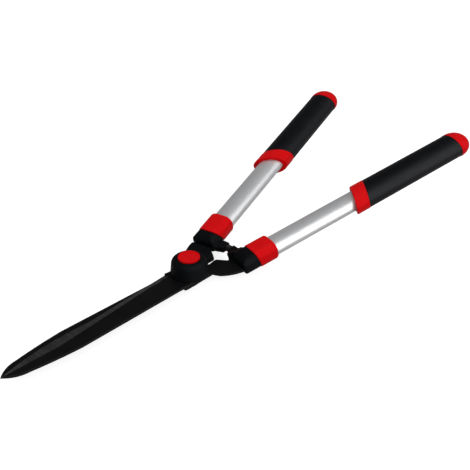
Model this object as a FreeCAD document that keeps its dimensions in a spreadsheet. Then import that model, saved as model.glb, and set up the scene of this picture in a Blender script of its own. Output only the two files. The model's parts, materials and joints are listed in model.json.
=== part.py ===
"""Hedge shears: two crossed blades on one bolt, with oval tube handles that rise from the blades."""
import FreeCAD, Part
import math
import os
import re

import Sketcher

# The frame: the pivot's axis is Z, the blades point along -X and the handles along +X.
# The left handle is on +Y and carries the upper blade. Z is zero on the flat of the bolt's head.
# A handle's own frame has X along its tube, Y to the left and Z square to its tang.
SIZES = (
    ("handle_splay", 13.6, "each handle's angle from the centre line, in plan, in degrees"),
    ("handle_pitch", 12.0, "rise of the handles from the plane of the blades, in degrees"),
    ("handle_offset", 17.2, "where a handle's line passes the pivot, to the side"),
    ("handle_drop", 6.9, "the same, below the plane between the blades"),
    ("blade_thickness", 3.0, "thickness of the steel"),
    ("blade_play", 0.1, "from the plane between the blades to each blade"),
    ("blade_length", 233.0, "from the pivot to the tip"),
    ("tip_length", 24.0, "from the tip to where the back turns"),
    ("knee_back", 12.1, "half width of the back there"),
    ("tip_radius", 33.0, "radius of the back between knee and tip"),
    ("belly_reach", 155.0, "where the back is widest"),
    ("belly_back", 18.1, "half width of the back there"),
    ("belly_radius", 520.0, "radius of the back between belly and knee"),
    ("root_reach", 30.0, "where the back meets the pivot plate"),
    ("root_back", 16.6, "half width of the back there"),
    ("plate_step", 1.5, "run of the step between blade and pivot plate"),
    ("plate_back", 16.4, "half width of the pivot plate on the back's side"),
    ("plate_end", 13.0, "where the straight side of the pivot plate ends"),
    ("plate_end_back", 16.8, "half width of the plate there"),
    ("plate_radius", 24.0, "radius of the pivot plate"),
    ("crotch_start", 24.3, "where the round of the plate ends"),
    ("crotch_back", 2.0, "how far the plate crosses the centre line there"),
    ("crotch_reach", 29.5, "where the arm's inner side starts"),
    ("crotch_gap", 0.7, "from the arm's inner side to the centre line"),
    ("crotch_end", 36.3, "where the arm's inner side turns away from the centre line"),
    ("crotch_radius", 4.0, "radius of that turn"),
    ("crotch_side", 39.9, "where that turn ends"),
    ("crotch_side_gap", 2.9, "from there to the centre line"),
    ("arm_inner", 13.9, "half width of the arm at the socket, inner side"),
    ("arm_side", 4.8, "length of that side that runs along the handle"),
    ("arm_outer", 12.9, "half width of the arm at the socket, outer side"),
    ("arm_radius", 50.0, "radius of the arm's outer side"),
    ("shoulder_reach", 20.0, "where the arm's outer side meets the plate"),
    ("shoulder_edge", 15.6, "half width of the plate there, on the edge's side"),
    ("heel_reach", 17.5, "where the plate steps down to the cutting edge"),
    ("heel_edge", 16.9, "half width of the plate there"),
    ("edge_start", 21.0, "where the cutting edge starts"),
    ("edge_start_out", 16.2, "the edge's distance from the centre line there"),
    ("edge_bend", 112.0, "where the straight edge ends"),
    ("edge_bend_out", 10.4, "the edge's distance from the centre line there"),
    ("edge_hollow_radius", 170.0, "radius of the edge's hollow stretch"),
    ("edge_swell", 140.0, "where the hollow ends"),
    ("edge_swell_out", 9.9, "the edge's distance from the centre line there"),
    ("edge_tip_radius", 300.0, "radius of the edge from there to the tip"),
    ("bevel_width", 12.5, "width of the ground bevel"),
    ("edge_land", 0.5, "thickness that the grinding leaves at the edge"),
    ("tang_end", 98.0, "end of the tang, along the handle"),
    ("tang_width", 15.0, "width of the tang"),
    ("bolt_diameter", 10.0, "pivot bolt"),
    ("pivot_clearance", 0.06, "radial, between the bolt and the blades"),
    ("fit_clearance", 0.1, "between pieces that are fixed to each other"),
    ("head_height", 6.4, "height of the bolt's head"),
    ("across_flats", 16.0, "of the bolt's head and the nut"),
    ("nut_height", 10.0, "height of the lock nut"),
    ("nut_collar", 2.6, "height of the round collar that holds the nut's ring"),
    ("nut_collar_step", 0.9, "how far that collar stands in from the flats"),
    ("nut_collar_bevel", 0.8, "bevel on the collar's rim"),
    ("bolt_proud", 0.8, "bolt past the nut"),
    ("bolt_bevel", 0.7, "bevel on the bolt's end"),
    ("washer_diameter", 20.0, "plain washers"),
    ("washer_thickness", 2.0, "plain washers"),
    ("spring_diameter", 18.1, "split spring washer"),
    ("spring_thickness", 2.2, "split spring washer"),
    ("spring_split", 1.2, "width of the washer's split"),
    ("corner_chamfer_share", 0.32, "height of the hexagon's turned corner, of a corner's overhang"),
    ("boss_diameter", 42.0, "moulded boss over the nut"),
    ("boss_height", 19.0, "height of the boss above the upper blade"),
    ("boss_taper", 1.2, "how much its wall leans in"),
    ("boss_round", 7.0, "radius of its rim"),
    ("neck_height", 4.1, "height of the cover's neck over the arm"),
    ("neck_groove", 3.7, "between the neck and the front of the socket"),
    ("neck_inset", 1.0, "how far the neck stands back from the arm's inner side"),
    ("neck_outer", 12.0, "half width of the neck at its end, outer side"),
    ("neck_radius", 80.0, "radius of the neck's outer side"),
    ("neck_root", 8.0, "where the neck's outer side meets the boss"),
    ("neck_root_out", 19.4, "from there to the centre line"),
    ("neck_round", 1.2, "radius of the neck's upper edges"),
    ("well_wall", 1.2, "between the nut's corners and the well's wall"),
    ("cap_diameter", 24.0, "red cap on the boss"),
    ("cap_proud", 1.6, "cap above the boss"),
    ("cap_seat", 1.6, "depth of the cap's seat in the boss"),
    ("cap_rim", 1.3, "width of the cap's raised rim"),
    ("cap_recess", 0.6, "depth of its face below the rim"),
    ("cap_face", 1.6, "thickness of its face"),
    ("skirt_depth", 3.2, "length of its snap skirt"),
    ("skirt_wall", 1.0, "wall of its snap skirt"),
    ("socket_start", 49.0, "front of the socket's round nose, along the handle"),
    ("socket_end", 69.7, "where socket and collar meet, on the handle's line"),
    ("left_joint_rake", 30.0, "slant of that joint in side view, in degrees, left handle"),
    ("right_joint_rake", 12.0, "the same, right handle"),
    ("socket_step", 0.5, "how far the socket stands in from the collar"),
    ("socket_cheek", 8.0, "radius of the nose's corners in plan"),
    ("socket_corner", 10.0, "radius of its long corners"),
    ("spigot_end", 112.0, "end of the spigot in the tube"),
    ("lug_height", 8.2, "height of the stop lug"),
    ("lug_rise", 0.4, "from the handle's line up to the middle of the lug"),
    ("lug_inset", 2.0, "from the socket's front to the root of the lug"),
    ("lug_nose", 4.0, "from the socket's front to the lug's contact face"),
    ("lug_face", 8.5, "length of the lug's contact face"),
    ("lug_heel", 5.2, "from the socket's rear to the root of the lug"),
    ("lug_gap", 3.2, "from the centre plane to the lug"),
    ("bumper_length", 6.5, "rubber bumper, along the shears"),
    ("bumper_height", 7.6, "rubber bumper, upright"),
    ("bumper_corner", 2.0, "radius of its corners"),
    ("bumper_gap", 0.15, "from the centre plane to the bumper"),
    ("stem_diameter", 4.0, "bumper's stem in the lug"),
    ("stem_length", 5.0, "bumper's stem in the lug"),
    ("collar_length", 24.7, "red collar, on the handle's line"),
    ("collar_side_wall", 1.4, "red collar, at the sides of the tube"),
    ("collar_top_wall", 2.9, "red collar, above the tube"),
    ("collar_low_wall", 1.4, "red collar, below the tube"),
    ("collar_corner", 10.0, "radius of its long corners"),
    ("collar_rim", 2.4, "radius of its rear rim"),
    ("tube_width", 28.0, "oval tube"),
    ("tube_height", 19.0, "oval tube"),
    ("tube_wall", 1.5, "oval tube"),
    ("tube_end", 368.0, "rear end of the tube, along the handle"),
    ("rivet_place", 86.0, "cross rivet, along the handle"),
    ("rivet_diameter", 5.0, "cross rivet"),
    ("ferrule_front", 213.8, "ferrule's front face, on the handle's line"),
    ("grip_front", 232.8, "where ferrule and grip meet, on the handle's line"),
    ("grip_splay", 27.0, "slant of those faces in plan, in degrees"),
    ("grip_rake", 5.0, "slant of those faces in side view, in degrees"),
    ("grip_side_wall", 5.0, "oval grip, at the sides of the tube"),
    ("grip_top_wall", 4.5, "oval grip, above and below the tube"),
    ("ferrule_proud", 0.4, "ferrule and cap proud of the grip"),
    ("cap_gap", 3.5, "from the tube's rear end to the seam of grip and end cap"),
    ("seam_rake", 5.0, "slant of that seam in side view, in degrees"),
    ("cap_skirt", 2.5, "from that seam to the start of the cap's dome"),
    ("dome_length", 19.6, "length of the dome"),
    ("plug_length", 22.0, "cap's plug in the tube"),
    ("overrun", 1.0, "how far a cutting tool passes the face it cuts"),
)

# What follows from the sizes. Angles of a plain number are degrees.
DERIVED = (
    ("cap_seam", "tube_end + cap_gap"),
    ("dome_start", "cap_seam + cap_skirt"),
    ("collar_width", "tube_width + 2 * collar_side_wall"),
    ("collar_height", "tube_height + collar_top_wall + collar_low_wall"),
    ("collar_low", "tube_height / 2 + collar_low_wall"),
    ("socket_width", "collar_width - 2 * socket_step"),
    ("socket_height", "collar_height - 2 * socket_step"),
    ("socket_low", "collar_low - socket_step"),
    ("grip_width", "tube_width + 2 * grip_side_wall"),
    ("grip_height", "tube_height + 2 * grip_top_wall"),
    ("blade_outer", "blade_play + blade_thickness"),
    ("joint_level", "head_height + washer_thickness + blade_outer"),
    ("axis_level", "joint_level - handle_drop"),
    ("mitre", "blade_thickness / 2 * tan(handle_pitch / 2)"),
    ("upper_bend", "(handle_drop + blade_outer - blade_thickness / 2) / tan(handle_pitch)"),
    ("lower_bend", "(handle_drop - blade_outer + blade_thickness / 2) / tan(handle_pitch)"),
    ("upper_bend_high", "upper_bend - mitre"),
    ("upper_bend_low", "upper_bend + mitre"),
    ("lower_bend_high", "lower_bend - mitre"),
    ("lower_bend_low", "lower_bend + mitre"),
    ("arm_end", "socket_start - fit_clearance - blade_thickness / 2 * tan(handle_pitch)"),
    ("neck_end", "socket_start - neck_groove"),
    ("knee_reach", "blade_length - tip_length"),
    ("strip_reach", "blade_length + handle_offset"),
    ("strip_end_high", "tang_end * cos(handle_pitch) - blade_thickness / 2 * sin(handle_pitch)"),
    ("strip_end_low", "tang_end * cos(handle_pitch) + blade_thickness / 2 * sin(handle_pitch)"),
    ("strip_rise", "tang_end * sin(handle_pitch) - handle_drop"),
    ("strip_rise_high", "strip_rise + blade_thickness / 2 * cos(handle_pitch)"),
    ("strip_rise_low", "strip_rise - blade_thickness / 2 * cos(handle_pitch)"),
    ("edge_slope", "atan((edge_start_out - edge_bend_out) / (edge_bend - edge_start)) / (1 deg)"),
    ("edge_level", "blade_play + edge_land"),
    ("grind_over", "blade_outer + overrun"),
    ("plate_corner", "root_reach - plate_step"),
    ("washer_top", "blade_outer + blade_play + washer_thickness"),
    ("nut_seat", "washer_top + spring_thickness"),
    ("nut_top", "nut_seat + nut_height"),
    ("flat_radius", "across_flats / 2"),
    ("nut_corner", "flat_radius / cos(30)"),
    ("corner_chamfer", "corner_chamfer_share * (nut_corner - flat_radius)"),
    ("nut_flats", "nut_height - nut_collar"),
    ("nut_chamfer_start", "nut_flats - corner_chamfer"),
    ("nut_collar_base", "nut_seat + nut_flats - overrun"),
    ("nut_collar_radius", "flat_radius - nut_collar_step"),
    ("nut_collar_crown", "nut_collar_radius - nut_collar_bevel"),
    ("nut_collar_shoulder", "nut_top - nut_collar_bevel"),
    ("bolt_radius", "bolt_diameter / 2"),
    ("bolt_end", "nut_top + bolt_proud"),
    ("bolt_point", "bolt_radius - bolt_bevel"),
    ("bolt_shoulder", "bolt_end - bolt_bevel"),
    ("shank_start", "-blade_outer - washer_thickness - overrun"),
    ("cover_base", "blade_outer + fit_clearance"),
    ("cover_top", "blade_outer + boss_height"),
    ("neck_top", "blade_outer + neck_height"),
    ("neck_crotch_end", "crotch_end - neck_inset"),
    ("neck_crotch_side", "crotch_side - neck_inset"),
    ("boss_radius", "boss_diameter / 2"),
    ("boss_shoulder", "boss_radius - boss_taper"),
    ("boss_crown", "boss_shoulder - boss_round"),
    ("boss_wall_top", "cover_top - boss_round"),
    ("well_radius", "nut_corner + well_wall + skirt_wall"),
    ("cap_radius", "cap_diameter / 2"),
    ("cap_ledge", "cover_top - cap_seat"),
    ("cap_bottom", "cap_ledge + fit_clearance"),
    ("cap_top", "cover_top + cap_proud"),
    ("cap_floor", "cap_top - cap_recess"),
    ("cap_ceiling", "cap_floor - cap_face"),
    ("cap_rim_radius", "cap_radius - cap_rim"),
    ("skirt_radius", "well_radius - fit_clearance"),
    ("skirt_inner", "skirt_radius - skirt_wall"),
    ("skirt_bottom", "cap_bottom - skirt_depth"),
    ("lug_front", "socket_start + lug_inset"),
    ("lug_contact", "socket_start + lug_nose"),
    ("lug_contact_end", "lug_contact + lug_face"),
    ("lug_back", "socket_end - lug_heel"),
    ("lug_root", "socket_width / 2 - overrun"),
    ("lug_depth", "handle_offset + lug_contact_end * sin(handle_splay) + lug_height"),
    ("lug_middle", "lug_contact + lug_face / 2"),
    ("bumper_x", "lug_middle * cos(handle_pitch) / cos(handle_splay) + handle_offset * tan(handle_splay)"),
    ("bumper_z", "axis_level + lug_middle * sin(handle_pitch) + lug_rise * cos(handle_pitch)"),
    ("spigot_width", "tube_width - 2 * tube_wall - 2 * fit_clearance"),
    ("spigot_height", "tube_height - 2 * tube_wall - 2 * fit_clearance"),
    ("nose_radius", "socket_height / 2"),
    ("nose_high", "socket_height - socket_low"),
    ("nose_level", "nose_high - nose_radius"),
    ("socket_half", "socket_width / 2"),
    ("cheek_side", "socket_half - socket_cheek"),
    ("cheek_end", "socket_start + socket_cheek"),
    ("nose_start", "socket_start + nose_radius"),
    ("seat_end", "socket_end + tube_height / 2 * tan(left_joint_rake)"),
    ("tube_start", "seat_end + fit_clearance"),
    ("collar_start", "socket_end + fit_clearance"),
    ("collar_front", "collar_start - collar_height / 2 * tan(left_joint_rake)"),
    ("collar_end", "collar_start + collar_length"),
)

# The corners of the arm and the tang in plan, at a place along the handle and a distance to one side.
ARM_CORNERS = (
    ("arm_turn", "(arm_end - arm_side)", "-arm_inner"),
    ("arm_in", "arm_end", "-arm_inner"),
    ("arm_out", "arm_end", "arm_outer"),
    ("tang_in", "arm_end", "-tang_width / 2"),
    ("tang_out", "arm_end", "tang_width / 2"),
    ("tip_in", "(tang_end + overrun)", "-tang_width / 2"),
    ("tip_out", "(tang_end + overrun)", "tang_width / 2"),
    ("neck_in", "neck_end", "-(arm_inner - neck_inset)"),
    ("neck_out", "neck_end", "neck_outer"),
)

SIGN = {"left": "", "right": "-"}
AXIS_X = FreeCAD.Vector(1, 0, 0)
AXIS_Y = FreeCAD.Vector(0, 1, 0)
AXIS_Z = FreeCAD.Vector(0, 0, 1)
TINY = 1e-6

doc = FreeCAD.newDocument("hedge_shears")
sizes = doc.addObject("Spreadsheet::Sheet", "Sizes")


def fill_sheet():
    """Each size, then each size that follows from others, in a cell with its name beside it."""
    cells = [(name, str(number), remark) for name, number, remark in SIZES]
    cells += [(name, "=" + formula, "") for name, formula in DERIVED]
    for name, place, aside in ARM_CORNERS:
        run = "%s * cos(handle_pitch)" % place
        cells.append((name + "_x", "=%s * cos(handle_splay) - (%s) * sin(handle_splay)" % (run, aside), ""))
        side = "=handle_offset + %s * sin(handle_splay) + (%s) * cos(handle_splay)" % (run, aside)
        cells.append((name + "_y", side, ""))
    for row, (name, content, remark) in enumerate(cells, start=1):
        sizes.set("A%d" % row, name)
        sizes.set("B%d" % row, content)
        sizes.set("C%d" % row, remark)
        sizes.setAlias("B%d" % row, name)
    doc.recompute()
    return {name for name, content, remark in cells}


NAMES = fill_sheet()


def bound(text):
    """An expression in which each size is read from the sheet."""
    return re.sub(r"[a-z]\w*", lambda word: ("Sizes." if word[0] in NAMES else "") + word[0], text)


def value(text):
    """What a size's name stands for, with its sign."""
    if text == "0":
        return 0.0
    size = float(getattr(sizes, text.lstrip("-")))
    return -size if text.startswith("-") else size


def flip(text):
    """The same size with the other sign."""
    if text in ("", "0"):
        return text
    return text[1:] if text.startswith("-") else "-" + text


def add(kind, name, **lengths):
    """A new object with each of these properties bound to the sheet."""
    item = doc.addObject(kind, name)
    for prop, text in lengths.items():
        item.setExpression(prop, bound(text))
    return item


def place(item, at="0; 0; 0", turn="0; 0; 0"):
    """Puts an object in the shears' frame; the turn is yaw, pitch and roll."""
    item.setExpression("Placement", bound("placement(vector(%s); rotation(%s))" % (at, turn)))
    return item


def place_on_handle(item, side, at="0; 0; 0", turn="0; 0; 0"):
    """Puts an object in one handle's own frame."""
    frame = "placement(vector(0; %shandle_offset; axis_level); rotation(%shandle_splay; -handle_pitch; 0))"
    frame = frame % (SIGN[side], SIGN[side])
    item.setExpression("Placement", bound(frame + " * placement(vector(%s); rotation(%s))" % (at, turn)))
    return item


def arc(start, end, radius):
    """The short arc between two points; a positive radius turns left on the way."""
    chord = end - start
    middle = (start + end) / 2
    left = FreeCAD.Vector(-chord.y, chord.x, 0).normalize()
    rise = math.sqrt(radius * radius - chord.Length * chord.Length / 4)
    centre = middle + left * math.copysign(rise, radius)
    first, last = (start, end) if radius > 0 else (end, start)
    angles = [math.atan2(p.y - centre.y, p.x - centre.x) for p in (first, last)]
    circle = Part.Circle(centre, FreeCAD.Vector(0, 0, 1), abs(radius))
    return Part.ArcOfCircle(circle, *angles)


def draw(name, path, mirrored=False, closed=True):
    """A sketch through corners, each with the radius of the arc that leads on from it, or a line."""
    if mirrored:
        path = [(x, flip(y), flip(bend)) for x, y, bend in path]
    sketch = doc.addObject("Sketcher::SketchObject", name)
    spots = [FreeCAD.Vector(value(x), value(y), 0) for x, y, bend in path]
    count = len(path) if closed else len(path) - 1
    ends = []
    for i in range(count):
        bend = path[i][2]
        start, end = spots[i], spots[(i + 1) % len(path)]
        sketch.addGeometry(arc(start, end, value(bend)) if bend else Part.LineSegment(start, end))
        ends.append((2, 1) if bend.startswith("-") else (1, 2))
    for i in range(count - (not closed)):
        j = (i + 1) % count
        sketch.addConstraint(Sketcher.Constraint("Coincident", i, ends[i][1], j, ends[j][0]))
    for i, (x, y, bend) in enumerate(path):
        at = (i, ends[i][0]) if i < count else (i - 1, ends[i - 1][1])
        for kind, text, axis in (("DistanceX", x, -2), ("DistanceY", y, -1)):
            if text == "0":
                sketch.addConstraint(Sketcher.Constraint("PointOnObject", *at, axis))
            else:
                tie(sketch, Sketcher.Constraint(kind, -1, 1, *at, value(text)), text)
        if bend:
            tie(sketch, Sketcher.Constraint("Radius", i, abs(value(bend))), bend.lstrip("-"))
    return sketch


def tie(sketch, constraint, text):
    """Adds a constraint whose number is read from the sheet."""
    index = sketch.addConstraint(constraint)
    sketch.setExpression("Constraints[%d]" % index, bound(text))


def extrude(name, base, length, symmetric=False):
    """A solid that rises from a closed outline."""
    solid = add("Part::Extrusion", name, LengthFwd=length)
    solid.Base = base
    solid.DirMode = "Normal"
    solid.Solid = True
    solid.Symmetric = symmetric
    return solid


def turn(name, path, level="joint_level"):
    """A solid of revolution about the pivot's axis; the path is radius and height."""
    outline = place(draw(name + "_profile", path), "0; 0; " + level, "0; 0; 90")
    solid = doc.addObject("Part::Revolution", name)
    solid.Source = outline
    solid.Axis = FreeCAD.Vector(0, 0, 1)
    solid.Solid = True
    return solid


def cylinder(name, radius, height):
    return add("Part::Cylinder", name, Radius=radius, Height=height)


def box(name, length, width, height):
    return add("Part::Box", name, Length=length, Width=width, Height=height)


def cut(name, base, *tools):
    """The base without its tools; each step keeps its own object."""
    for count, tool in enumerate(tools, start=1):
        last = count == len(tools)
        step = doc.addObject("Part::Cut", name if last else "%s_cut_%d" % (name, count))
        step.Base = base
        step.Tool = tool
        base = step
    return base


def common(name, *shapes):
    """What all the shapes share."""
    solid = doc.addObject("Part::MultiCommon", name)
    solid.Shapes = list(shapes)
    return solid


def fuse(name, *shapes):
    """All the shapes as one solid."""
    solid = doc.addObject("Part::MultiFuse", name)
    solid.Shapes = list(shapes)
    solid.Refine = True
    return solid


def oval(name, side, width, height, start, end):
    """An oval bar along a handle."""
    section = add("Part::Ellipse", name + "_section", MajorRadius=width + " / 2", MinorRadius=height + " / 2")
    place_on_handle(section, side, start + "; 0; 0", "90; 0; 90")
    return extrude(name, section, "%s - (%s)" % (end, start))


def rounded_block(name, length, width, height, corner, long_axis):
    """A block in a body, with the four edges along one axis rounded."""
    body = doc.addObject("PartDesign::Body", name)
    block = body.newObject("PartDesign::AdditiveBox", name + "_block")
    for prop, text in (("Length", length), ("Width", width), ("Height", height)):
        block.setExpression(prop, bound(text))
    doc.recompute()
    edges = [
        "Edge%d" % i
        for i, edge in enumerate(block.Shape.Edges, start=1)
        if abs(edge.tangentAt(edge.FirstParameter).dot(long_axis)) > 1 - TINY
    ]
    round_off(body, name + "_corners", (block, edges), corner)
    return body


def round_off(body, name, edges, radius):
    """Rounds some edges of a body, or all the edges of a face of it."""
    fillet = body.newObject("PartDesign::Fillet", name)
    fillet.Base = edges
    fillet.Refine = False
    fillet.setExpression("Radius", bound(radius))
    doc.recompute()
    return fillet


def end_face(item, direction):
    """The name of an object's outermost face in one direction."""
    faces = item.Shape.Faces
    reach = [face.CenterOfMass.dot(direction) for face in faces]
    return "Face%d" % (reach.index(max(reach)) + 1)


def soften(name, base, direction, radius):
    """Rounds the edges of an object's outermost face in one direction."""
    doc.recompute()
    rim = base.Shape.getElement(end_face(base, direction)).Edges
    solid = doc.addObject("Part::Fillet", name)
    solid.Base = base
    solid.Edges = [
        (i, value(radius), value(radius))
        for i, edge in enumerate(base.Shape.Edges, start=1)
        if any(edge.isSame(other) for other in rim)
    ]
    return solid


# The blades: flat steel from tip to arm, then bent up along the handle to a narrow tang.
OUTLINE = (
    ("-blade_length", "0", "tip_radius"),
    ("-knee_reach", "-knee_back", "belly_radius"),
    ("-belly_reach", "-belly_back", ""),
    ("-root_reach", "-root_back", ""),
    ("-plate_corner", "-plate_back", ""),
    ("plate_end", "-plate_end_back", "plate_radius"),
    ("crotch_start", "-crotch_back", ""),
    ("crotch_reach", "crotch_gap", ""),
    ("crotch_end", "crotch_gap", "crotch_radius"),
    ("crotch_side", "crotch_side_gap", ""),
    ("arm_turn_x", "arm_turn_y", ""),
    ("arm_in_x", "arm_in_y", ""),
    ("tang_in_x", "tang_in_y", ""),
    ("tip_in_x", "tip_in_y", ""),
    ("tip_out_x", "tip_out_y", ""),
    ("tang_out_x", "tang_out_y", ""),
    ("arm_out_x", "arm_out_y", "arm_radius"),
    ("shoulder_reach", "shoulder_edge", ""),
    ("-heel_reach", "heel_edge", ""),
    ("-edge_start", "edge_start_out", ""),
    ("-edge_bend", "edge_bend_out", "-edge_hollow_radius"),
    ("-edge_swell", "edge_swell_out", "edge_tip_radius"),
)
EDGE = OUTLINE[-3:] + (OUTLINE[0][:2] + ("",),)


def make_blade(name, side, bend, low, high):
    """One blade: what the bent strip and the plan outline share, ground to an edge on its outer face."""
    strip_path = (
        ("-strip_reach", low, ""),
        (bend + "_low", low, ""),
        ("strip_end_low", "strip_rise_low", ""),
        ("strip_end_high", "strip_rise_high", ""),
        (bend + "_high", high, ""),
        ("-strip_reach", high, ""),
    )
    level = "0; 0; joint_level"
    sign = SIGN[side]
    profile = place(
        draw(name + "_strip_profile", strip_path),
        "0; %shandle_offset; joint_level" % sign,
        "%shandle_splay; 0; 90" % sign,
    )
    strip = extrude(name + "_strip", profile, "blade_length", symmetric=True)
    mirrored = side == "right"
    outline = place(draw(name + "_outline", OUTLINE, mirrored), level)
    plan = extrude(name + "_plan", outline, "blade_length", symmetric=True)
    blank = common(name + "_blank", strip, plan)
    edge_line = place(draw(name + "_edge", EDGE, mirrored, closed=False), level)
    wedge_path = (
        ("bevel_width", "blade_outer", ""),
        ("0", "edge_level", ""),
        ("-overrun", "edge_level", ""),
        ("-overrun", "grind_over", ""),
        ("bevel_width", "grind_over", ""),
    )
    wedge = place(
        draw(name + "_wedge", wedge_path, mirrored),
        "-edge_start; %sedge_start_out; joint_level" % sign,
        "%s(edge_slope - 90); 0; 90" % sign,
    )
    grind = doc.addObject("Part::Sweep", name + "_grind")
    grind.Sections = [wedge]
    grind.Spine = (edge_line, ["Edge1", "Edge2", "Edge3"])
    grind.Solid = True
    grind.Transition = "Right corner"
    bore = place(cylinder(name + "_bore", "bolt_diameter / 2 + pivot_clearance", "2 * joint_level"))
    hole = cylinder(name + "_rivet_hole", "rivet_diameter / 2 + fit_clearance", "tube_height")
    place_on_handle(hole, side, "rivet_place; 0; -tube_height / 2")
    return cut(name, blank, grind, bore, hole)


def own_side(side):
    """A large block on one handle's side of the centre plane, as far from it as the lugs are."""
    start = "lug_gap" if side == "left" else "-lug_gap - tube_end"
    return place(box(side + "_half", "tube_end", "tube_end", "tube_end"), "0; %s; -joint_level" % start)


def make_socket(side):
    """The moulded socket at the front of a handle: a rounded head, a spigot in the tube and a stop lug."""
    name = side + "_socket"
    block = rounded_block(name + "_block", "spigot_end - socket_start", "socket_width", "socket_height",
                          "socket_corner", AXIS_X)
    place_on_handle(block, side, "socket_start; -socket_width / 2; -socket_low")
    nose_path = (
        ("spigot_end", "nose_high", ""),
        ("nose_start", "nose_high", "nose_radius"),
        ("socket_start", "nose_level", "nose_radius"),
        ("nose_start", "-socket_low", ""),
        ("spigot_end", "-socket_low", ""),
    )
    side_view = place_on_handle(draw(name + "_side_view", nose_path), side, turn="0; 0; 90")
    nose = extrude(name + "_nose", side_view, "2 * socket_width", symmetric=True)
    cheek_path = (
        ("spigot_end", "socket_half", ""),
        ("cheek_end", "socket_half", "socket_cheek"),
        ("socket_start", "cheek_side", ""),
        ("socket_start", "-cheek_side", "socket_cheek"),
        ("cheek_end", "-socket_half", ""),
        ("spigot_end", "-socket_half", ""),
    )
    cheeks = extrude(name + "_cheeks", place_on_handle(draw(name + "_plan_view", cheek_path), side),
                     "2 * socket_height", symmetric=True)
    collar_side = slab(name + "_collar_side", side, "socket_end", "tube_end", "0", side + "_joint_rake")
    head = cut(name + "_head", common(name + "_rounded", block, nose, cheeks), collar_side)
    seat = oval(name + "_seat", side, "tube_width", "tube_height", "nose_start", "seat_end")
    spigot = oval(name + "_spigot", side, "spigot_width", "spigot_height", "seat_end - overrun", "spigot_end")
    lug_path = (
        ("lug_front", "-lug_root", ""),
        ("lug_contact", "-lug_depth", ""),
        ("lug_contact_end", "-lug_depth", ""),
        ("lug_back", "-lug_root", ""),
    )
    lug_outline = draw(name + "_lug_outline", lug_path, side == "right")
    place_on_handle(lug_outline, side, "0; 0; lug_rise")
    lug_bar = extrude(name + "_lug_bar", lug_outline, "lug_height", symmetric=True)
    lug = common(name + "_lug", lug_bar, own_side(side))
    whole = fuse(name + "_whole", head, seat, spigot, lug)
    slot = box(name + "_slot", "tang_end + fit_clearance - socket_start + overrun",
               "tang_width + 2 * fit_clearance", "blade_thickness + 2 * fit_clearance")
    place_on_handle(slot, side, "socket_start - overrun; -tang_width / 2 - fit_clearance;"
                    " -blade_thickness / 2 - fit_clearance")
    hole = cylinder(name + "_rivet_hole", "rivet_diameter / 2 + fit_clearance", "tube_height")
    place_on_handle(hole, side, "rivet_place; 0; -tube_height / 2")
    stem = cylinder(name + "_stem_hole", "stem_diameter / 2 + fit_clearance", "stem_length + overrun")
    place_stem(stem, side, "lug_gap - overrun")
    return cut(name, whole, slot, hole, stem)


def place_stem(item, side, start):
    """Puts a cylinder on the line from the centre plane into a lug."""
    roll = "-90" if side == "left" else "90"
    place(item, "bumper_x; %s(%s); bumper_z" % (SIGN[side], start), "0; 0; " + roll)


def make_bumper(side):
    """The rubber stop on a lug, with a stem that holds it there."""
    name = side + "_bumper"
    pad = rounded_block(name + "_pad", "bumper_length", "lug_gap - bumper_gap", "bumper_height",
                        "bumper_corner", AXIS_Y)
    low = "bumper_gap" if side == "left" else "-lug_gap"
    place(pad, "bumper_x - bumper_length / 2; %s; bumper_z - bumper_height / 2" % low)
    stem = cylinder(name + "_stem", "stem_diameter / 2", "stem_length - fit_clearance + overrun")
    place_stem(stem, side, "lug_gap - overrun")
    return fuse(name, pad, stem)


def make_collar(side):
    """The red collar between socket and tube."""
    name = side + "_collar"
    body = rounded_block(name + "_body", "collar_end - collar_front", "collar_width", "collar_height",
                         "collar_corner", AXIS_X)
    tip = body.Tip
    round_off(body, name + "_rim", (tip, [end_face(tip, AXIS_X)]), "collar_rim")
    place_on_handle(body, side, "collar_front; -collar_width / 2; -collar_low")
    face = slab(name + "_face", side, "collar_start", "tube_end", "0", side + "_joint_rake")
    bore = oval(name + "_bore", side, "(tube_width + 2 * fit_clearance)", "(tube_height + 2 * fit_clearance)",
                "collar_front - overrun", "collar_end + overrun")
    return cut(name, common(name + "_slice", body, face), bore)


def make_tube(side):
    """The oval aluminium tube of a handle."""
    name = side + "_tube"
    outside = oval(name + "_outside", side, "tube_width", "tube_height", "tube_start", "tube_end")
    bore = oval(name + "_bore", side, "(tube_width - 2 * tube_wall)", "(tube_height - 2 * tube_wall)",
                "tube_start - overrun", "tube_end + overrun")
    hole = cylinder(name + "_rivet_hole", "rivet_diameter / 2 + fit_clearance", "2 * tube_height")
    place_on_handle(hole, side, "rivet_place; 0; -tube_height")
    return cut(name, outside, bore, hole)


def make_rivet(side):
    """The rivet through tube, spigot and tang, hidden by the collar."""
    rivet = cylinder(side + "_rivet", "rivet_diameter / 2", "tube_height")
    return place_on_handle(rivet, side, "rivet_place; 0; -tube_height / 2")


def slab(name, side, start, length, splay, rake):
    """A large block whose front face is a slanted plane through a point of the handle's line."""
    block = box(name, length, "tube_end", "tube_end")
    yaw = "%s%s" % (SIGN[side], splay)
    frame = "placement(vector(0; %shandle_offset; axis_level); rotation(%shandle_splay; -handle_pitch; 0))"
    frame = frame % (SIGN[side], SIGN[side])
    slant = "placement(vector(%s; 0; 0); rotation(%s; -(%s); 0))" % (start, yaw, rake)
    centred = "placement(vector(0; -tube_end / 2; -tube_end / 2); rotation(0; 0; 0))"
    block.setExpression("Placement", bound(" * ".join((frame, slant, centred))))
    return block


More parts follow.
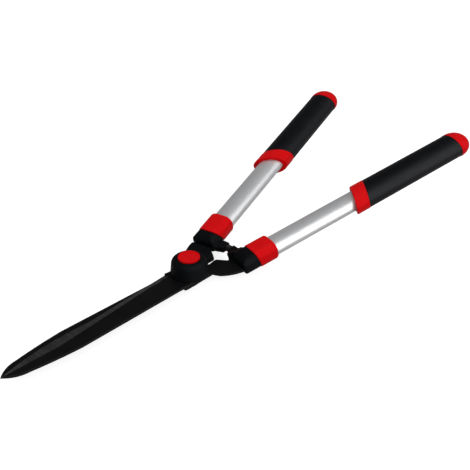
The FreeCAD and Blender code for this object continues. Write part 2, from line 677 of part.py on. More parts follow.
def make_ferrule(side):
    """The slanted red ring at the front of a grip."""
    name = side + "_ferrule"
    outside = oval(name + "_outside", side, "(grip_width + 2 * ferrule_proud)", "(grip_height + 2 * ferrule_proud)",
                   "ferrule_front - grip_width", "grip_front + grip_width")
    bore = oval(name + "_bore", side, "(tube_width + 2 * fit_clearance)", "(tube_height + 2 * fit_clearance)",
                "ferrule_front - 2 * grip_width", "grip_front + 2 * grip_width")
    band = slab(name + "_band", side, "ferrule_front",
                "(grip_front - ferrule_front) * cos(grip_splay) * cos(grip_rake)", "grip_splay", "grip_rake")
    return cut(name, common(name + "_slice", outside, band), bore)


def make_grip(side):
    """The black grip between ferrule and end cap."""
    name = side + "_grip"
    outside = oval(name + "_outside", side, "grip_width", "grip_height", "grip_front - grip_width",
                   "cap_seam + grip_width")
    bore = oval(name + "_bore", side, "(tube_width + 2 * fit_clearance)", "(tube_height + 2 * fit_clearance)",
                "grip_front - 2 * grip_width", "cap_seam + 2 * grip_width")
    rear = slab(name + "_rear", side, "grip_front", "tube_end", "grip_splay", "grip_rake")
    beyond = slab(name + "_beyond", side, "cap_seam", "tube_end", "0", "seam_rake")
    return cut(name, common(name + "_length", outside, rear), beyond, bore)


def make_end_cap(side):
    """The red cap that closes a handle, with a plug in the tube."""
    name = side + "_end_cap"
    skirt = oval(name + "_skirt", side, "(grip_width + 2 * ferrule_proud)", "(grip_height + 2 * ferrule_proud)",
                 "cap_seam - grip_width / 2", "dome_start")
    dome = add("Part::Ellipsoid", name + "_dome", Radius1="dome_length", Radius2="grip_width / 2 + ferrule_proud",
               Radius3="grip_height / 2 + ferrule_proud")
    dome.Angle1 = 0
    place_on_handle(dome, side, "dome_start; 0; 0", "90; 0; 90")
    beyond = slab(name + "_beyond", side, "cap_seam", "tube_end", "0", "seam_rake")
    core = oval(name + "_core", side, "tube_width", "tube_height", "tube_end + fit_clearance", "dome_start + overrun")
    plug = oval(name + "_plug", side, "spigot_width", "spigot_height", "tube_end - plug_length", "dome_start + overrun")
    return fuse(name, common(name + "_rim", skirt, beyond), dome, core, plug)


def make_washer(name, level, thickness, radius):
    """A plain ring on the bolt."""
    disc = place(cylinder(name + "_disc", radius, thickness), "0; 0; " + level)
    bore = cylinder(name + "_bore", "bolt_diameter / 2 + fit_clearance", thickness + " + 2 * overrun")
    place(bore, "0; 0; %s - overrun" % level)
    return cut(name, disc, bore)


def make_hexagon(name, height, level, upper_chamfer):
    """A hexagon with corners turned off at its lower end, and at its upper end where asked."""
    prism = add("Part::Prism", name + "_prism", Circumradius="nut_corner", Height=height)
    prism.Polygon = 6
    place(prism, "0; 0; " + level)
    top = (("nut_corner", height, ""),)
    if upper_chamfer:
        top = (("nut_corner", upper_chamfer, ""), ("flat_radius", height, ""))
    path = (("0", "0", ""), ("flat_radius", "0", ""), ("nut_corner", "corner_chamfer", "")) + top
    return common(name, prism, turn(name + "_turned", path + (("0", height, ""),), level))


def make_bolt():
    """The pivot bolt: a flat hexagon head below, the shank up through blades and nut."""
    head = make_hexagon("bolt_head", "head_height", "0", "")
    path = (
        ("0", "shank_start", ""),
        ("bolt_radius", "shank_start", ""),
        ("bolt_radius", "bolt_shoulder", ""),
        ("bolt_point", "bolt_end", ""),
        ("0", "bolt_end", ""),
    )
    return fuse("pivot_bolt", head, turn("bolt_shank", path))


def make_lock_nut():
    """The lock nut: a hexagon with a round collar on top."""
    hexagon = make_hexagon("nut_hexagon", "nut_flats", "joint_level + nut_seat", "nut_chamfer_start")
    path = (
        ("0", "nut_collar_base", ""),
        ("nut_collar_radius", "nut_collar_base", ""),
        ("nut_collar_radius", "nut_collar_shoulder", ""),
        ("nut_collar_crown", "nut_top", ""),
        ("0", "nut_top", ""),
    )
    whole = fuse("nut_whole", hexagon, turn("nut_collar", path))
    bore = place(cylinder("nut_bore", "bolt_radius", "2 * nut_height"), "0; 0; joint_level + nut_seat - overrun")
    return cut("lock_nut", whole, bore)


def make_spring_washer():
    """The split washer under the nut."""
    ring = make_washer("spring_ring", "joint_level + washer_top", "spring_thickness", "spring_diameter / 2")
    gap = box("spring_gap", "spring_diameter", "spring_split", "spring_thickness + 2 * overrun")
    place(gap, "0; -spring_split / 2; joint_level + washer_top - overrun", "-60; 0; 0")
    return cut("spring_washer", ring, gap)


def make_cover():
    """The moulded cover on the upper blade: a round boss over the nut and a neck over the arm."""
    boss_path = (
        ("0", "cover_base", ""),
        ("boss_radius", "cover_base", ""),
        ("boss_shoulder", "boss_wall_top", "boss_round"),
        ("boss_crown", "cover_top", ""),
        ("0", "cover_top", ""),
    )
    boss = turn("cover_boss", boss_path)
    neck_path = (
        ("neck_crotch_end", "crotch_gap", "crotch_radius"),
        ("neck_crotch_side", "crotch_side_gap", ""),
        ("neck_in_x", "neck_in_y", ""),
        ("neck_out_x", "neck_out_y", "neck_radius"),
        ("neck_root", "neck_root_out", ""),
        ("0", "0", ""),
    )
    outline = place(draw("neck_outline", neck_path), "0; 0; joint_level + cover_base")
    bar = soften("neck_round_bar", extrude("neck_bar", outline, "neck_top - cover_base"), AXIS_Z, "neck_round")
    arm_bend = box("neck_arm_bend", "tube_end", "tube_end", "tube_height")
    place_on_handle(arm_bend, "left", "0; -tube_end / 2; blade_thickness / 2 + fit_clearance - tube_height")
    neck = cut("cover_neck", bar, arm_bend)
    whole = fuse("cover_whole", boss, neck)
    well = place(cylinder("cover_well", "well_radius", "boss_height + 2 * overrun"),
                 "0; 0; joint_level + cover_base - overrun")
    seat = place(cylinder("cover_seat", "cap_radius + fit_clearance", "boss_height"),
                 "0; 0; joint_level + cap_ledge")
    return cut("pivot_cover", whole, well, seat)


def make_pivot_cap():
    """The red cap that snaps into the boss."""
    path = (
        ("0", "cap_ceiling", ""),
        ("skirt_inner", "cap_ceiling", ""),
        ("skirt_inner", "skirt_bottom", ""),
        ("skirt_radius", "skirt_bottom", ""),
        ("skirt_radius", "cap_bottom", ""),
        ("cap_radius", "cap_bottom", ""),
        ("cap_radius", "cap_top", ""),
        ("cap_rim_radius", "cap_top", ""),
        ("cap_rim_radius", "cap_floor", ""),
        ("0", "cap_floor", ""),
    )
    return turn("pivot_cap", path)


nodes = [
    make_blade("upper_blade", "left", "upper_bend", "blade_play", "blade_outer"),
    make_blade("lower_blade", "right", "lower_bend", "-blade_outer", "-blade_play"),
    make_bolt(),
    make_washer("head_washer", "head_height", "washer_thickness", "washer_diameter / 2"),
    make_washer("nut_washer", "joint_level + cover_base", "washer_thickness", "washer_diameter / 2"),
    make_spring_washer(),
    make_lock_nut(),
    make_cover(),
    make_pivot_cap(),
]
for side in SIGN:
    nodes += [
        make_socket(side),
        make_bumper(side),
        make_collar(side),
        make_tube(side),
        make_rivet(side),
        make_ferrule(side),
        make_grip(side),
        make_end_cap(side),
    ]
doc.recompute()

faults = []
for item in doc.Objects:
    if "Invalid" in item.State or "Error" in item.State:
        faults.append("%s: %s" % (item.Name, item.getStatusString()))
    if item.isDerivedFrom("Sketcher::SketchObject") and not item.FullyConstrained:
        faults.append("%s: not fully constrained" % item.Name)
for node in nodes:
    if node.Shape.isNull() or not node.Shape.isValid() or len(node.Shape.Solids) != 1:
        faults.append("%s: not one valid solid" % node.Name)
if faults:
    raise RuntimeError("\n".join(faults))

os.makedirs("parts", exist_ok=True)
for node in nodes:
    node.Label = node.Name
    node.Shape.exportStep("parts/%s.step" % node.Name)
    print(node.Name, round(node.Shape.Volume), "cubic mm")
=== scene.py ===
"""Hedge shears: the look of each piece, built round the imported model. Lengths are in metres."""
import json
from math import cos, radians, sin, sqrt

import bmesh
import bpy
from mathutils import Matrix, Vector


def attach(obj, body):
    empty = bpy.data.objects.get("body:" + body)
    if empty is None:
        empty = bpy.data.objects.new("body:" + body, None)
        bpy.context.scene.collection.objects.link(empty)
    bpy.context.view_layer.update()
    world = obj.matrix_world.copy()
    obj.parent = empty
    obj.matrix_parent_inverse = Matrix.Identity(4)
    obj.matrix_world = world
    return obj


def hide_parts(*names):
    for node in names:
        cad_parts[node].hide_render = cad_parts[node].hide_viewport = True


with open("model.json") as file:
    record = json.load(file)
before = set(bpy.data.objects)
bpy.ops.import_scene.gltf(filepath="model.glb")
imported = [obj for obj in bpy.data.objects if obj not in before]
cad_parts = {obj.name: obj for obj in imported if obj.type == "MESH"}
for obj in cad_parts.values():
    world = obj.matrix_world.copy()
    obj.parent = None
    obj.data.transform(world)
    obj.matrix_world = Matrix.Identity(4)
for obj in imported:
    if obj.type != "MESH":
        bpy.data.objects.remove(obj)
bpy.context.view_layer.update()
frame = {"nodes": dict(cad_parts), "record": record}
scene = bpy.context.scene
scene.view_settings.view_transform = "Standard"

# The photograph's viewpoint: a studio camera, close above the blades on the right-hand side, so that
# the handles run away from it. Its place was fitted to the outlines in the picture.
MM = 0.001
CAMERA_TURN = radians(-45.6)
CAMERA_RISE = radians(31.5)
CAMERA_DISTANCE = 820.6 * MM
AIM_RIGHT, AIM_UP = 49.7 * MM, 43.15 * MM
AIM_LEVEL = 11.5 * MM
# in millimetres, as a lens is marked
SENSOR_WIDTH, FOCAL_LENGTH = 36.0, 57.447
towards = Vector((sin(CAMERA_TURN) * cos(CAMERA_RISE), -cos(CAMERA_TURN) * cos(CAMERA_RISE), sin(CAMERA_RISE)))
rightwards = Vector((0, 0, 1)).cross(towards).normalized()
upwards = towards.cross(rightwards)
camera = bpy.data.objects.new("camera", bpy.data.cameras.new("camera"))
scene.collection.objects.link(camera)
camera.matrix_world = Matrix((rightwards, upwards, towards)).transposed().to_4x4()
camera.location = (towards * CAMERA_DISTANCE + rightwards * AIM_RIGHT + upwards * AIM_UP
                   + Vector((0, 0, AIM_LEVEL)))
camera.data.sensor_width = SENSOR_WIDTH
camera.data.lens = FOCAL_LENGTH
camera.data.clip_start = 10 * MM
scene.camera = camera


# The floor: a sheet of white card under the tool, which it touches at the head of the bolt. It lights
# the undersides, shows in the bright metal, and keeps a soft shadow.
def srgb(code):
    """The linear colour of a six-figure sRGB code."""
    shares = [int(code[i:i + 2], 16) / 255 for i in (0, 2, 4)]
    return [s / 12.92 if s <= 0.04045 else ((s + 0.055) / 1.055) ** 2.4 for s in shares] + [1.0]


def add(tree, kind, inputs=None, **settings):
    """Adds a node, sets it, and gives each named or numbered input a value or another node's output."""
    new = tree.nodes.new("ShaderNode" + kind)
    for name, setting in settings.items():
        setattr(new, name, setting)
    for name, given in (inputs or {}).items():
        if isinstance(given, bpy.types.NodeSocket):
            tree.links.new(given, new.inputs[name])
        else:
            new.inputs[name].default_value = given
    return new


def new_material(name):
    """An empty node material and the tree to fill."""
    made = bpy.data.materials.new(name)
    made.use_nodes = True
    made.node_tree.nodes.clear()
    return made, made.node_tree


# Matt card: the camera sees it nearly white, metal sees it dim, and its own colour carries the shadow.
SEEN_GLOW, MIRRORED_GLOW = 0.82, 0.06
card, tree = new_material("white_card")
rays = add(tree, "LightPath")
seen = add(tree, "Math", {0: rays.outputs["Is Camera Ray"], 1: rays.outputs["Is Glossy Ray"]},
           operation="MAXIMUM")
seen = add(tree, "Math", {0: seen.outputs[0], 1: rays.outputs["Is Transmission Ray"]}, operation="MAXIMUM")
paper = add(tree, "BsdfDiffuse", {"Color": srgb("b4b4b4")})
off = add(tree, "Emission", {"Strength": 0.0})
dim = add(tree, "Emission", {"Color": srgb("ffffff"), "Strength": MIRRORED_GLOW})
glow = add(tree, "Emission", {"Color": srgb("ffffff"), "Strength": SEEN_GLOW})
dim = add(tree, "MixShader", {0: seen.outputs[0], 1: off.outputs[0], 2: dim.outputs[0]})
lift = add(tree, "MixShader", {0: rays.outputs["Is Camera Ray"], 1: dim.outputs[0], 2: glow.outputs[0]})
both = add(tree, "AddShader", {0: paper.outputs[0], 1: lift.outputs[0]})
add(tree, "OutputMaterial", {"Surface": both.outputs[0]})

FLOOR_HALF = 4.0
sheet = bmesh.new()
bmesh.ops.create_grid(sheet, x_segments=1, y_segments=1, size=FLOOR_HALF)
floor_mesh = bpy.data.meshes.new("floor")
sheet.to_mesh(floor_mesh)
sheet.free()
floor = bpy.data.objects.new("floor", floor_mesh)
scene.collection.objects.link(floor)
floor_mesh.materials.append(card)

# The studio: a dim room over the white floor, so that the black pieces stay black. A bright screen on the
# right-hand side draws the long highlights on tubes and grips, and three soft boxes light the colours.
# The walls' brightness, from level (0) to straight up (1).
WALLS = ((0.0, 0.20), (0.22, 0.17), (0.42, 0.07), (0.86, 0.05), (0.97, 0.25))
SCREEN_DIRECTION, SCREEN_BRIGHTNESS = (0.05, -0.80, 0.60), 2.8
# how squarely a ray has to meet the screen's direction at its soft edge, and in its full light
SCREEN_EDGE, SCREEN_FULL = 0.64, 0.84
AMBIENT_BRIGHTNESS = 0.5
room = bpy.data.worlds.new("studio")
scene.world = room
room.use_nodes = True
tree = room.node_tree
tree.nodes.clear()
rays = add(tree, "LightPath")
ray = add(tree, "TexCoord")
level = add(tree, "SeparateXYZ", {0: ray.outputs["Generated"]})
wall = add(tree, "ValToRGB", {"Fac": level.outputs["Z"]})
for height, brightness in WALLS:
    band = wall.color_ramp.elements.new(height)
    band.color = (brightness, brightness, brightness, 1.0)
# the black and the white end that a new ramp has
wall.color_ramp.elements.remove(wall.color_ramp.elements[0])
wall.color_ramp.elements.remove(wall.color_ramp.elements[-1])
facing = add(tree, "VectorMath", {0: ray.outputs["Generated"], 1: SCREEN_DIRECTION}, operation="DOT_PRODUCT")
screen = add(tree, "MapRange", {"Value": facing.outputs["Value"], "From Min": SCREEN_EDGE,
                                "From Max": SCREEN_FULL, "To Min": 0.0, "To Max": SCREEN_BRIGHTNESS},
             interpolation_type="SMOOTHSTEP")
total = add(tree, "Math", {0: wall.outputs["Color"], 1: screen.outputs[0]}, operation="ADD")
mirrored = add(tree, "Background", {"Color": srgb("ffffff"), "Strength": total.outputs[0]})
ambient = add(tree, "Background", {"Color": srgb("ffffff"), "Strength": AMBIENT_BRIGHTNESS})
white = add(tree, "Background", {"Color": srgb("ffffff"), "Strength": 1.0})
inner = add(tree, "MixShader", {0: rays.outputs["Is Glossy Ray"], 1: ambient.outputs[0],
                                2: mirrored.outputs[0]})
outer = add(tree, "MixShader", {0: rays.outputs["Is Camera Ray"], 1: inner.outputs[0], 2: white.outputs[0]})
add(tree, "OutputWorld", {"Surface": outer.outputs[0]})
# each kind of ray finds its own sky, because no ray is aimed at it
room.cycles.sampling_method = "NONE"


def soft_box(name, place, target, width, height, watts):
    """A rectangular lamp turned towards a point, which no surface mirrors."""
    lamp = bpy.data.lights.new(name, "AREA")
    lamp.shape, lamp.size, lamp.size_y, lamp.energy = "RECTANGLE", width, height, watts
    box = bpy.data.objects.new(name, lamp)
    scene.collection.objects.link(box)
    box.location = place
    box.visible_glossy = False
    box.rotation_euler = (Vector(target) - Vector(place)).to_track_quat("-Z", "Y").to_euler()


soft_box("overhead", place=(0.15, 0.1, 1.5), target=(0.1, 0.0, 0.0), width=1.4, height=1.4, watts=6.5)
soft_box("right_front", place=(0.25, -1.5, 0.75), target=(0.15, 0.0, 0.03), width=1.2, height=0.8, watts=9.0)
soft_box("left_front", place=(-1.5, -0.5, 1.0), target=(0.0, 0.0, 0.03), width=1.0, height=1.0, watts=4.0)


# The two blades with their arms: hardened carbon steel, laser cut, ground along the edge and dipped in a
# black non-stick coat. Each arm is bent up towards its handle, and the two cross on the bolt.
WELD = 0.001 * MM
CORNER_ANGLE = radians(30)


def merged_copy(node_name, rim_mm, segments=2):
    """A copy of a solid with joined facets and broken edges, which stands for its node."""
    work = bmesh.new()
    work.from_mesh(frame["nodes"][node_name].data)
    bmesh.ops.remove_doubles(work, verts=work.verts, dist=WELD)
    bmesh.ops.dissolve_limit(work, angle_limit=radians(0.2), verts=work.verts, edges=work.edges)
    for face in work.faces:
        face.smooth = True
        face.material_index = 0
    mesh = bpy.data.meshes.new(node_name + "_finished")
    work.to_mesh(mesh)
    work.free()
    piece = bpy.data.objects.new(node_name + "_finished", mesh)
    scene.collection.objects.link(piece)
    if rim_mm:
        broken = piece.modifiers.new("broken_edges", "BEVEL")
        broken.width, broken.segments = rim_mm * MM, segments
        broken.limit_method, broken.angle_limit = "ANGLE", CORNER_ANGLE
        broken.use_clamp_overlap, broken.harden_normals = False, True
    flats = piece.modifiers.new("flat_faces", "WEIGHTED_NORMAL")
    flats.keep_sharp = True
    bodies = frame["record"]["behaviour"]["bodies"]
    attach(piece, next(body for body, members in bodies.items() if node_name in members))
    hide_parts(node_name)
    return piece


# The coat on the rolled steel is a deep satin black, with clouds in its gloss. Grinding lines cross the
# blade about 0.3 mm apart, drawn three times as coarse so that they show.
coated_steel, tree = new_material("coated_carbon_steel")
spot = add(tree, "TexCoord")
stretched = add(tree, "Mapping", {"Vector": spot.outputs["Object"], "Scale": (1.0, 0.06, 0.06)})
lines = add(tree, "TexNoise", {"Vector": stretched.outputs[0], "Scale": 1200.0, "Detail": 3.0})
clouds = add(tree, "TexNoise", {"Vector": spot.outputs["Object"], "Scale": 45.0, "Detail": 4.0})
tone = add(tree, "MixRGB", {"Fac": clouds.outputs["Fac"], "Color1": srgb("08080a"), "Color2": srgb("0e0e0f")})
gloss = add(tree, "MapRange", {"Value": clouds.outputs["Fac"], "From Min": 0.3, "From Max": 0.7,
                               "To Min": 0.36, "To Max": 0.46})
relief = add(tree, "Bump", {"Height": lines.outputs["Fac"], "Strength": 0.12, "Distance": 0.1 * MM})
skin = add(tree, "BsdfPrincipled", {"Base Color": tone.outputs[0], "Roughness": gloss.outputs[0], "IOR": 1.25,
                                    "Normal": relief.outputs[0]})
add(tree, "OutputMaterial", {"Surface": skin.outputs[0]})

# The wheel leaves the bevel paler than the rolled face, with scratches across it, about 0.25 mm apart,
# drawn six times as coarse so that they show.
ground_steel, tree = new_material("coated_ground_bevel")
spot = add(tree, "TexCoord")
stretched = add(tree, "Mapping", {"Vector": spot.outputs["Object"], "Scale": (1.0, 0.05, 0.05)})
lines = add(tree, "TexNoise", {"Vector": stretched.outputs[0], "Scale": 650.0, "Detail": 2.0})
tone = add(tree, "ValToRGB", {"Fac": lines.outputs["Fac"]})
for scratch, (position, code) in zip(tone.color_ramp.elements, ((0.35, "1a1a1a"), (0.65, "313130"))):
    scratch.position, scratch.color = position, srgb(code)
relief = add(tree, "Bump", {"Height": lines.outputs["Fac"], "Strength": 0.3, "Distance": 0.1 * MM})
skin = add(tree, "BsdfPrincipled", {"Base Color": tone.outputs["Color"], "Roughness": 0.45, "IOR": 1.30,
                                    "Normal": relief.outputs[0]})
add(tree, "OutputMaterial", {"Surface": skin.outputs[0]})

# The grinding is narrow at the pivot and widens to the tip, and its shoulder stands up as a fine lip.
# Heights are the upper blade's. The lower blade has the same ones below the joint of the two.
FACE_LEVEL, GROUND_LEVEL = 14.6 * MM, 12.3 * MM
JOINT_LEVEL = 11.5 * MM
GROUND_RISE = GROUND_LEVEL - JOINT_LEVEL
GRIND_END = -19.0 * MM
SHOULDER = (Vector((-20, 11.4, 0)) * MM, Vector((-169.5, -3.9, 0)) * MM, Vector((-240, -3.0, 0)) * MM)
LIP_HEIGHT, LIP_WIDTH = 0.22 * MM, 1.3 * MM
EDGE_START, EDGE_STRAIGHT, EDGE_SIDE = -20.0 * MM, -112.0 * MM, 9 * MM
TOUCH = 0.01 * MM
# how squarely a face of the blade's ground side looks up, and how squarely a flat one does
SLOPED, FLAT = 0.7, 0.999
# crosswise cuts, in millimetres, at which the ground faces can follow the shoulder
STATIONS = range(-220, -20, 10)


def bevel_faces(work, flip):
    """The faces of the ground bevel, which is on top of one blade and under the other."""
    return [f for f in work.faces if SLOPED < flip * f.normal.z < FLAT and f.calc_center_median().x < GRIND_END]


def split_bevel(work, flip, place, across):
    """Cuts the bevel and the face beside it with an upright plane."""
    near = [f for f in work.faces if SLOPED < flip * f.normal.z and f.calc_center_median().x < GRIND_END]
    parts = near + list({e for f in near for e in f.edges}) + list({v for f in near for v in f.verts})
    bmesh.ops.bisect_plane(work, geom=parts, plane_co=place, plane_no=across, dist=WELD)


def shoulder_at(lines, flip, x):
    """How far from the centre line, towards the edge, the shoulder is at a place along the blade."""
    start, run = lines[0] if x > SHOULDER[1].x else lines[1]
    return flip * (start.y + run.y * (x - start.x) / run.x)


def move_shoulder(mesh, flip, root_fuller):
    """Brings the shoulder of the grinding to its line, raises its lip, and marks the ground faces."""
    work = bmesh.new()
    work.from_mesh(mesh)
    turn = Matrix.Diagonal((1, flip, 1))
    lines = [(turn @ SHOULDER[i], turn @ (SHOULDER[i + 1] - SHOULDER[i])) for i in (0, 1)]
    for station in STATIONS:
        split_bevel(work, flip, (station * MM, 0, 0), (1, 0, 0))
    for start, run in lines:
        inward = Vector((-run.y, run.x, 0)).normalized() * flip
        split_bevel(work, flip, start, inward)
        split_bevel(work, flip, start + inward * LIP_WIDTH, inward)
    work.normal_update()
    for v in work.verts:
        if flip * v.co.y > EDGE_SIDE and EDGE_STRAIGHT < v.co.x < EDGE_START:
            v.co.y += flip * root_fuller * (v.co.x - EDGE_STRAIGHT) / (EDGE_START - EDGE_STRAIGHT)
    ground = {v for f in bevel_faces(work, flip) for v in f.verts}
    for v in work.verts:
        out, line = flip * v.co.y, shoulder_at(lines, flip, v.co.x)
        outer_side = flip * (v.co.z - JOINT_LEVEL) > GROUND_RISE
        if outer_side and v in ground and out < line + TOUCH:
            v.co.z = JOINT_LEVEL + flip * (FACE_LEVEL - JOINT_LEVEL)
        if outer_side and abs(out - line) < TOUCH and v.co.x < GRIND_END:
            v.co.z = JOINT_LEVEL + flip * (FACE_LEVEL + LIP_HEIGHT - JOINT_LEVEL)
    work.normal_update()
    for f in bevel_faces(work, flip):
        centre = f.calc_center_median()
        if flip * centre.y > shoulder_at(lines, flip, centre.x):
            f.material_index = 1
    bmesh.ops.dissolve_degenerate(work, dist=WELD, edges=work.edges)
    work.to_mesh(mesh)
    work.free()


for half, flip, root_fuller in (("lower", -1, 0.0), ("upper", 1, 1.4 * MM)):
    blade = merged_copy(half + "_blade", 0.2)
    move_shoulder(blade.data, flip, root_fuller)
    blade.data.materials.append(coated_steel)
    blade.data.materials.append(ground_steel)

# The bolt stack and the two cross rivets: a hexagon bolt, plain washers, a spring washer and a locking
# nut, all steel. The bolt's head is below and the nut is inside the boss.
# Zinc plating is a pale grey metal, and its crystals make it cloudy in patches of about 1.5 mm.
zinc, tree = new_material("zinc_plated_steel")
spot = add(tree, "TexCoord")
grain = add(tree, "TexNoise", {"Vector": spot.outputs["Object"], "Scale": 700.0, "Detail": 3.0})
tone = add(tree, "MixRGB", {"Fac": grain.outputs["Fac"], "Color1": srgb("a9aaa8"), "Color2": srgb("c9c9c4")})
gloss = add(tree, "MapRange", {"Value": grain.outputs["Fac"], "From Min": 0.3, "From Max": 0.7,
                               "To Min": 0.25, "To Max": 0.4})
skin = add(tree, "BsdfPrincipled", {"Base Color": tone.outputs[0], "Roughness": gloss.outputs[0],
                                    "Metallic": 1.0})
add(tree, "OutputMaterial", {"Surface": skin.outputs[0]})

for node_name in ("pivot_bolt", "head_washer", "nut_washer", "spring_washer", "lock_nut",
                  "left_rivet", "right_rivet"):
    hardware = merged_copy(node_name, 0.15)
    hardware.data.materials.append(zinc)

# The sockets and the boss over the pivot: black mouldings. The sockets take the arms in front and the
# tubes behind, and the boss snaps over the upper blade's arm.
# Nylon with glass fibre is a bluish black that varies a little as it flowed, and the mould's spark-eroded
# grain of about 0.2 mm, drawn three times as coarse, makes it matt.
nylon, tree = new_material("glass_filled_nylon")
spot = add(tree, "TexCoord")
grain = add(tree, "TexNoise", {"Vector": spot.outputs["Object"], "Scale": 1500.0, "Detail": 2.0})
flow = add(tree, "TexNoise", {"Vector": spot.outputs["Object"], "Scale": 60.0, "Detail": 3.0})
tone = add(tree, "MixRGB", {"Fac": flow.outputs["Fac"], "Color1": srgb("050608"), "Color2": srgb("0b0d0f")})
gloss = add(tree, "MapRange", {"Value": flow.outputs["Fac"], "From Min": 0.3, "From Max": 0.7,
                               "To Min": 0.54, "To Max": 0.64})
relief = add(tree, "Bump", {"Height": grain.outputs["Fac"], "Strength": 0.25, "Distance": 0.2 * MM})
skin = add(tree, "BsdfPrincipled", {"Base Color": tone.outputs[0], "Roughness": gloss.outputs[0], "IOR": 1.16,
                                    "Normal": relief.outputs[0]})
add(tree, "OutputMaterial", {"Surface": skin.outputs[0]})

# The handles' directions, then the socket's corner radius in plan, half width and length of nose.
HANDLE_SPLAY, HANDLE_PITCH = radians(13.6), radians(12.0)
CHEEK, SOCKET_HALF, NOSE_REACH = 8.0 * MM, 14.9 * MM, 13.0 * MM
# how much of its roundness a corner loses, and how fast that grows from the socket's underside up
CHEEK_FULLER_SHARE, UPPER_GROWTH = 0.6, 2.2
# The web from stop lug to socket: where it starts behind the socket's front, how much sooner its inner
# side does, where that side is, and its heights above the socket's underside.
WEB_START, WEB_LEAD, WEB_SIDE = 4.0 * MM, 7.0 * MM, 17.0 * MM
WEB_LOW, WEB_HIGH, WEB_FALL = 9.0 * MM, 22.0 * MM, 2.5 * MM
MOULD_VOXEL, SMOOTHINGS = 0.7 * MM, 12


def shape_socket(mesh, sign, web_end, web_slope):
    """Brings the nose's upper corners forward, and adds the web that joins the stop lug to the socket."""
    along = Vector((cos(HANDLE_PITCH) * cos(HANDLE_SPLAY), sign * cos(HANDLE_PITCH) * sin(HANDLE_SPLAY),
                    sin(HANDLE_PITCH)))
    outwards = Vector((-sin(HANDLE_SPLAY), sign * cos(HANDLE_SPLAY), 0))
    up = along.cross(outwards) * sign
    middle = max(v.co.dot(outwards) for v in mesh.vertices) - SOCKET_HALF
    front = min(v.co.dot(along) for v in mesh.vertices)
    low = min(v.co.dot(up) for v in mesh.vertices)
    high = max(v.co.dot(up) for v in mesh.vertices)
    for v in mesh.vertices:
        past = abs(v.co.dot(outwards) - middle) - (SOCKET_HALF - CHEEK)
        if 0 < past < CHEEK + TOUCH and v.co.dot(along) < front + NOSE_REACH:
            upper_share = min(1.0, UPPER_GROWTH * (v.co.dot(up) - low) / (high - low))
            set_back = CHEEK - sqrt(max(0, CHEEK ** 2 - past ** 2))
            v.co -= along * upper_share * CHEEK_FULLER_SHARE * set_back
    work = bmesh.new()
    work.from_mesh(mesh)
    web = bmesh.ops.create_cube(work, size=1.0)["verts"]
    for v in web:
        at_back, at_side, on_top = v.co.x > 0, v.co.y < 0, v.co.z > 0
        height = WEB_HIGH - at_side * WEB_FALL - at_back * web_slope if on_top else WEB_LOW
        v.co = (along * (front + (web_end if at_back else WEB_START - at_side * WEB_LEAD))
                + outwards * (middle - (WEB_SIDE if at_side else SOCKET_HALF - CHEEK))
                + up * (low + height))
    bmesh.ops.recalc_face_normals(work, faces=[f for f in work.faces if all(v in web for v in f.verts)])
    work.to_mesh(mesh)
    work.free()


# each web's rear end, from the socket's front, and how far its top falls towards it
for side, sign, web_end, web_slope in (("left", 1, 19.0 * MM, 11.0 * MM), ("right", -1, 17.0 * MM, 2.0 * MM)):
    socket = merged_copy(side + "_socket", 0)
    shape_socket(socket.data, sign, web_end, web_slope)
    socket.data.materials.append(nylon)
    # the mould has no sharp corner inside, so all edges come out round
    moulded = socket.modifiers.new("moulded_skin", "REMESH")
    moulded.mode, moulded.voxel_size, moulded.use_smooth_shade = "VOXEL", MOULD_VOXEL, True
    softened = socket.modifiers.new("rounded_edges", "SMOOTH")
    softened.factor, softened.iterations = 0.5, SMOOTHINGS
boss = merged_copy("pivot_cover", 0.5)
boss.data.materials.append(nylon)

# The stops: two moulded rubber buffers between the sockets, each with its stem pressed into a stop lug.
# The rubber is a dull, slightly paler black, and its grain of 0.3 mm is drawn three times as coarse.
rubber, tree = new_material("stop_rubber")
spot = add(tree, "TexCoord")
grain = add(tree, "TexNoise", {"Vector": spot.outputs["Object"], "Scale": 900.0, "Detail": 2.0})
tone = add(tree, "MixRGB", {"Fac": grain.outputs["Fac"], "Color1": srgb("0e0e0e"), "Color2": srgb("171717")})
relief = add(tree, "Bump", {"Height": grain.outputs["Fac"], "Strength": 0.2, "Distance": 0.2 * MM})
skin = add(tree, "BsdfPrincipled", {"Base Color": tone.outputs[0], "Roughness": 0.7, "IOR": 1.52,
                                    "Normal": relief.outputs[0]})
add(tree, "OutputMaterial", {"Surface": skin.outputs[0]})
for side in ("left", "right"):
    buffer = merged_copy(side + "_bumper", 0.6)
    buffer.data.materials.append(rubber)

# The red trim: collars behind the sockets, slanted rings in front of the grips, the caps at the handles'
# ends and the disc over the pivot. All are mouldings that snap or press on.
# Polypropylene is an even, strong red with soft highlights. Its mould grain of about 0.2 mm is drawn
# three times as coarse.
red, tree = new_material("red_polypropylene")
spot = add(tree, "TexCoord")
flow = add(tree, "TexNoise", {"Vector": spot.outputs["Object"], "Scale": 90.0, "Detail": 3.0})
grain = add(tree, "TexNoise", {"Vector": spot.outputs["Object"], "Scale": 1400.0, "Detail": 2.0})
tone = add(tree, "MixRGB", {"Fac": flow.outputs["Fac"], "Color1": srgb("cb0005"), "Color2": srgb("d30108")})
gloss = add(tree, "MapRange", {"Value": flow.outputs["Fac"], "From Min": 0.3, "From Max": 0.7,
                               "To Min": 0.34, "To Max": 0.44})
relief = add(tree, "Bump", {"Height": grain.outputs["Fac"], "Strength": 0.12, "Distance": 0.2 * MM})
skin = add(tree, "BsdfPrincipled", {"Base Color": tone.outputs[0], "Roughness": gloss.outputs[0], "IOR": 1.18,
                                    "Normal": relief.outputs[0]})
add(tree, "OutputMaterial", {"Surface": skin.outputs[0]})
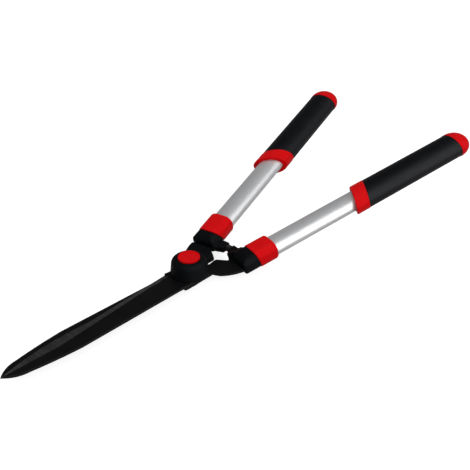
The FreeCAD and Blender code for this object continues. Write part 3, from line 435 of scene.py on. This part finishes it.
for node_name, rim_mm in (("left_collar", 0.8), ("right_collar", 0.8), ("left_ferrule", 1.0),
                          ("right_ferrule", 1.0), ("left_end_cap", 0.3), ("right_end_cap", 0.3),
                          ("pivot_cap", 0.4)):
    trim = merged_copy(node_name, rim_mm, segments=4)
    trim.data.materials.append(red)

# The tubes: oval extrusions, pressed on the sockets' spigots and riveted under the collars.
# Anodised aluminium in its natural colour: the die leaves lines along the tube, about 0.2 mm apart and drawn
# three times as coarse, and the etch before anodising gives the satin look.
for side, sign in (("left", 1), ("right", -1)):
    metal, tree = new_material(side + "_anodised_aluminium")
    spot = add(tree, "TexCoord")
    along = add(tree, "Mapping", {"Vector": spot.outputs["Object"],
                                  "Rotation": (0.0, -HANDLE_PITCH, sign * HANDLE_SPLAY)}, vector_type="TEXTURE")
    drawn = add(tree, "Mapping", {"Vector": along.outputs[0], "Scale": (0.01, 1.0, 1.0)})
    lines = add(tree, "TexNoise", {"Vector": drawn.outputs[0], "Scale": 1800.0, "Detail": 3.0})
    etch = add(tree, "TexNoise", {"Vector": spot.outputs["Object"], "Scale": 2500.0, "Detail": 2.0})
    tone = add(tree, "MixRGB", {"Fac": lines.outputs["Fac"], "Color1": srgb("c6c7c9"),
                                "Color2": srgb("d8d9da")})
    gloss = add(tree, "MapRange", {"Value": lines.outputs["Fac"], "From Min": 0.3, "From Max": 0.7,
                                   "To Min": 0.30, "To Max": 0.38})
    rough = add(tree, "Math", {0: lines.outputs["Fac"], 1: etch.outputs["Fac"]}, operation="ADD")
    relief = add(tree, "Bump", {"Height": rough.outputs[0], "Strength": 0.06, "Distance": 0.1 * MM})
    skin = add(tree, "BsdfPrincipled", {"Base Color": tone.outputs[0], "Roughness": gloss.outputs[0],
                                        "Metallic": 0.5, "Normal": relief.outputs[0]})
    add(tree, "OutputMaterial", {"Surface": skin.outputs[0]})
    tube = merged_copy(side + "_tube", 0.2)
    tube.data.materials.append(metal)

# The grips: sleeves of black foam rubber, stretched over the tubes between ring and cap.
# The foam is closed in cell and skinned, so it is a soft satin black, with pores of about 0.3 mm that are
# drawn three times as coarse.
foam, tree = new_material("skinned_foam_rubber")
spot = add(tree, "TexCoord")
pores = add(tree, "TexVoronoi", {"Vector": spot.outputs["Object"], "Scale": 1100.0})
cloud = add(tree, "TexNoise", {"Vector": spot.outputs["Object"], "Scale": 70.0, "Detail": 4.0})
tone = add(tree, "MixRGB", {"Fac": cloud.outputs["Fac"], "Color1": srgb("06070a"), "Color2": srgb("0c0d10")})
gloss = add(tree, "MapRange", {"Value": cloud.outputs["Fac"], "From Min": 0.3, "From Max": 0.7,
                               "To Min": 0.42, "To Max": 0.5})
relief = add(tree, "Bump", {"Height": pores.outputs["Distance"], "Strength": 0.15, "Distance": 0.3 * MM})
skin = add(tree, "BsdfPrincipled", {"Base Color": tone.outputs[0], "Roughness": gloss.outputs[0], "IOR": 1.24,
                                    "Normal": relief.outputs[0]})
add(tree, "OutputMaterial", {"Surface": skin.outputs[0]})
for side in ("left", "right"):
    grip = merged_copy(side + "_grip", 0.3)
    grip.data.materials.append(foam)
